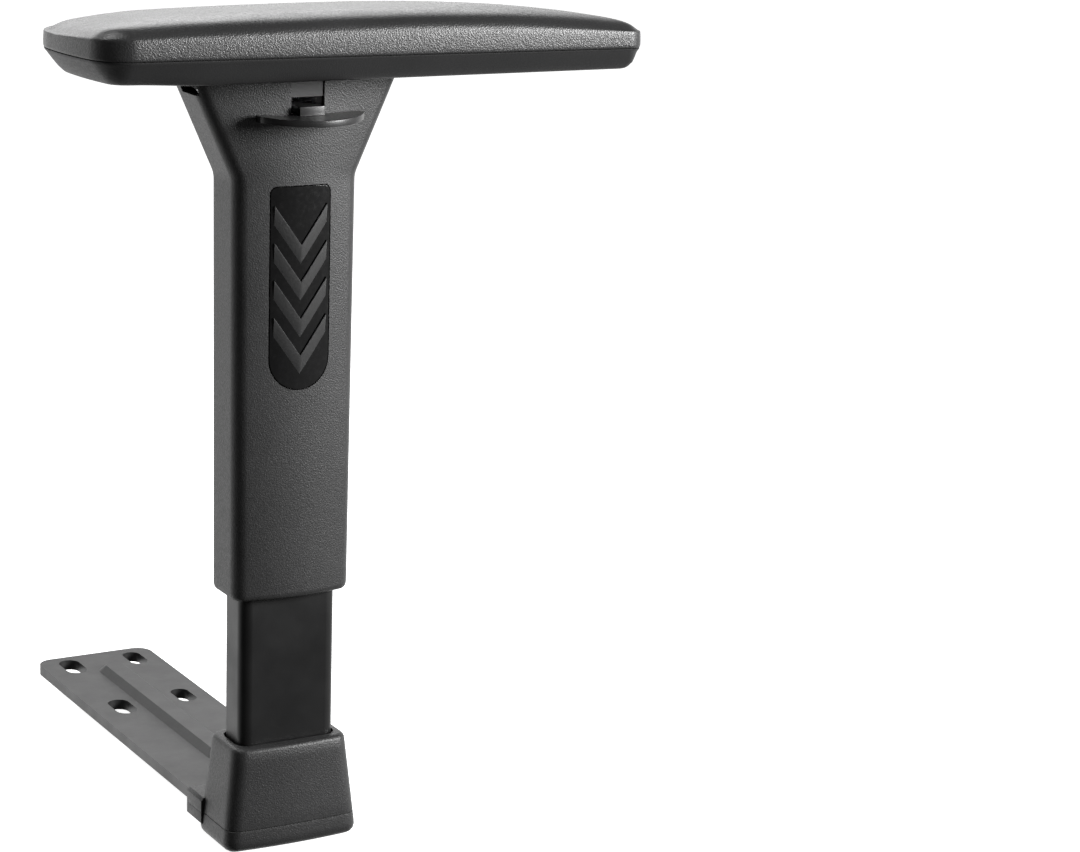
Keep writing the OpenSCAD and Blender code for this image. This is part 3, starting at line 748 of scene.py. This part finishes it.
def make_lever():
    cols, rows = 40, 14
    top, low = 312.4, 309.6
    edge = PADDLE_BACK - PADDLE_FRONT - 5
    big = (PADDLE_HW ** 2 + edge ** 2) / (2 * edge)
    bm = bmesh.new()
    tops, lows = [], []
    for i in range(cols + 1):
        x = -PADDLE_HW + 2 * PADDLE_HW * i / cols
        front = PADDLE_FRONT + big - math.sqrt(max(big * big - x * x, 0))
        dish = x * x / 640.0
        col_t, col_l = [], []
        for j in range(rows + 1):
            y = front + (PADDLE_BACK - front) * j / rows
            lip = 0.18 * max(0.0, 1 - (y - front) / 2.2) ** 2
            col_t.append(bm.verts.new(Vector((PADDLE_X + x, y, top + dish)) * MM))
            col_l.append(bm.verts.new(Vector((PADDLE_X + x, y, low + dish * 1.05 + lip)) * MM))
        tops.append(col_t)
        lows.append(col_l)
    for i in range(cols):
        for j in range(rows):
            bm.faces.new((tops[i][j], tops[i + 1][j], tops[i + 1][j + 1], tops[i][j + 1]))
            bm.faces.new((lows[i][j + 1], lows[i + 1][j + 1], lows[i + 1][j], lows[i][j]))
        bm.faces.new((lows[i][0], lows[i + 1][0], tops[i + 1][0], tops[i][0]))
        bm.faces.new((tops[i][-1], tops[i + 1][-1], lows[i + 1][-1], lows[i][-1]))
    for j in range(rows):
        bm.faces.new((lows[0][j + 1], lows[0][j], tops[0][j], tops[0][j + 1]))
        bm.faces.new((lows[-1][j], lows[-1][j + 1], tops[-1][j + 1], tops[-1][j]))
    ob = to_object(bm, "lever_paddle")

    def along_pin(name, outline, half):
        return prism(name, outline, 2 * half, lambda u, v, w: (LEVER_X - half + w, u, v))

    neck = block("neck", (LEVER_X - 5.6, -21.5, PIVOT_Z + 0.2), (LEVER_X + 5.6, PIVOT_Y, PIVOT_Z + 3.2))
    riser = block("riser", (LEVER_X - 5.6, -21.5, PIVOT_Z - 2), (LEVER_X + 5.6, -18.5, PIVOT_Z + 1))
    hub = along_pin("hub", circle(PIVOT_Y, PIVOT_Z, 3.6, 12), 5.6)
    beam = block("beam", (LEVER_X - 2.6, PIVOT_Y, PIVOT_Z - 2.2), (LEVER_X + 2.6, NOSE_Y, PIVOT_Z + 2.2))
    nose = along_pin("nose", circle(NOSE_Y, PIVOT_Z, 2.5), 2.6)
    boolean(ob, [riser, neck, hub, beam, nose], "UNION")
    boolean(ob, [along_pin("pin_bore", circle(PIVOT_Y, PIVOT_Z, 1.55), 15)])
    soften(ob, 0.55, 40, 3, 35)
    dress(ob, "lever_plastic", "lever", "lever_plastic", "lever")


make_sleeve()
make_inlay()
make_foot()
make_pad()
make_lever()

for name in ("bracket_plate", "upright_tube"):
    ob = frame["nodes"][name]
    bev = ob.modifiers.new("edges", "BEVEL")
    bev.width = 0.4 * MM
    bev.segments = 2
    bev.limit_method = "ANGLE"
    bev.angle_limit = math.radians(50)


# ---------------------------------------------------------------- stage and light

def make_floor():
    level = (FOOT_LOW - 0.05) * MM
    bm = bmesh.new()
    for x, y in ((-6, -6), (6, -6), (6, 6), (-6, 6)):
        bm.verts.new((x, y, level))
    bm.faces.new(bm.verts)
    floor = to_object(bm, "floor", recalc=False)
    m, nt, bsdf = new_material("floor_white")
    co = coords(nt)
    nt.links.new(ramp_colour(nt, noise(nt, co, 3.0, 2.0), (0.86, 0.86, 0.86), (0.9, 0.9, 0.9)),
                 bsdf.inputs["Base Color"])
    bsdf.inputs["Roughness"].default_value = 0.9
    bsdf.inputs["Specular IOR Level"].default_value = 0.1
    bsdf.inputs["Emission Color"].default_value = (1, 1, 1, 1)
    bsdf.inputs["Emission Strength"].default_value = 0.95
    floor.data.materials.append(m)
    floor.visible_diffuse = False
    floor.visible_glossy = False


def make_world():
    """A dark room with a bright low band behind the object and a softer one at its right."""
    world = bpy.data.worlds.new("studio")
    world.use_nodes = True
    nt = world.node_tree
    bg = nt.nodes["Background"]
    co = nt.nodes.new("ShaderNodeTexCoord").outputs["Generated"]
    sep = nt.nodes.new("ShaderNodeSeparateXYZ")
    nt.links.new(co, sep.inputs[0])
    low = remap(nt, sep.outputs["Z"], 0.10, 0.62, 1.0, 0.0)
    back = math_node(nt, "MULTIPLY", remap(nt, sep.outputs["Y"], 0.0, 0.7), low)
    side = math_node(nt, "MULTIPLY", remap(nt, sep.outputs["X"], 0.2, 0.9), low)
    total = math_node(nt, "ADD", math_node(nt, "MULTIPLY", back, 1.35), math_node(nt, "MULTIPLY", side, 0.5))
    total = math_node(nt, "ADD", total, 0.06)
    bg.inputs[0].default_value = (1, 1, 1, 1)
    nt.links.new(total, bg.inputs[1])
    bpy.context.scene.world = world


def area(name, loc, target, size, size_y, power):
    """A soft panel light at loc, aimed at target, in metres and watts."""
    data = bpy.data.lights.new(name, "AREA")
    data.shape = "RECTANGLE"
    data.size = size
    data.size_y = size_y
    data.energy = power
    ob = bpy.data.objects.new(name, data)
    loc = Vector(loc)
    ob.location = loc
    ob.rotation_euler = (Vector(target) - loc).to_track_quat("-Z", "Y").to_euler()
    bpy.context.scene.collection.objects.link(ob)


make_floor()
make_world()
area("key_right", (1.0, -0.95, 0.62), (0.05, 0.0, 0.24), 0.5, 0.5, 42)
area("top_back", (0.1, 1.1, 1.0), (0.0, 0.0, 0.3), 1.4, 0.5, 10)
area("high_left", (-0.5, 0.2, 1.5), (0.0, 0.1, 0.1), 0.5, 0.5, 7)
bpy.context.scene.view_settings.view_transform = "Standard"
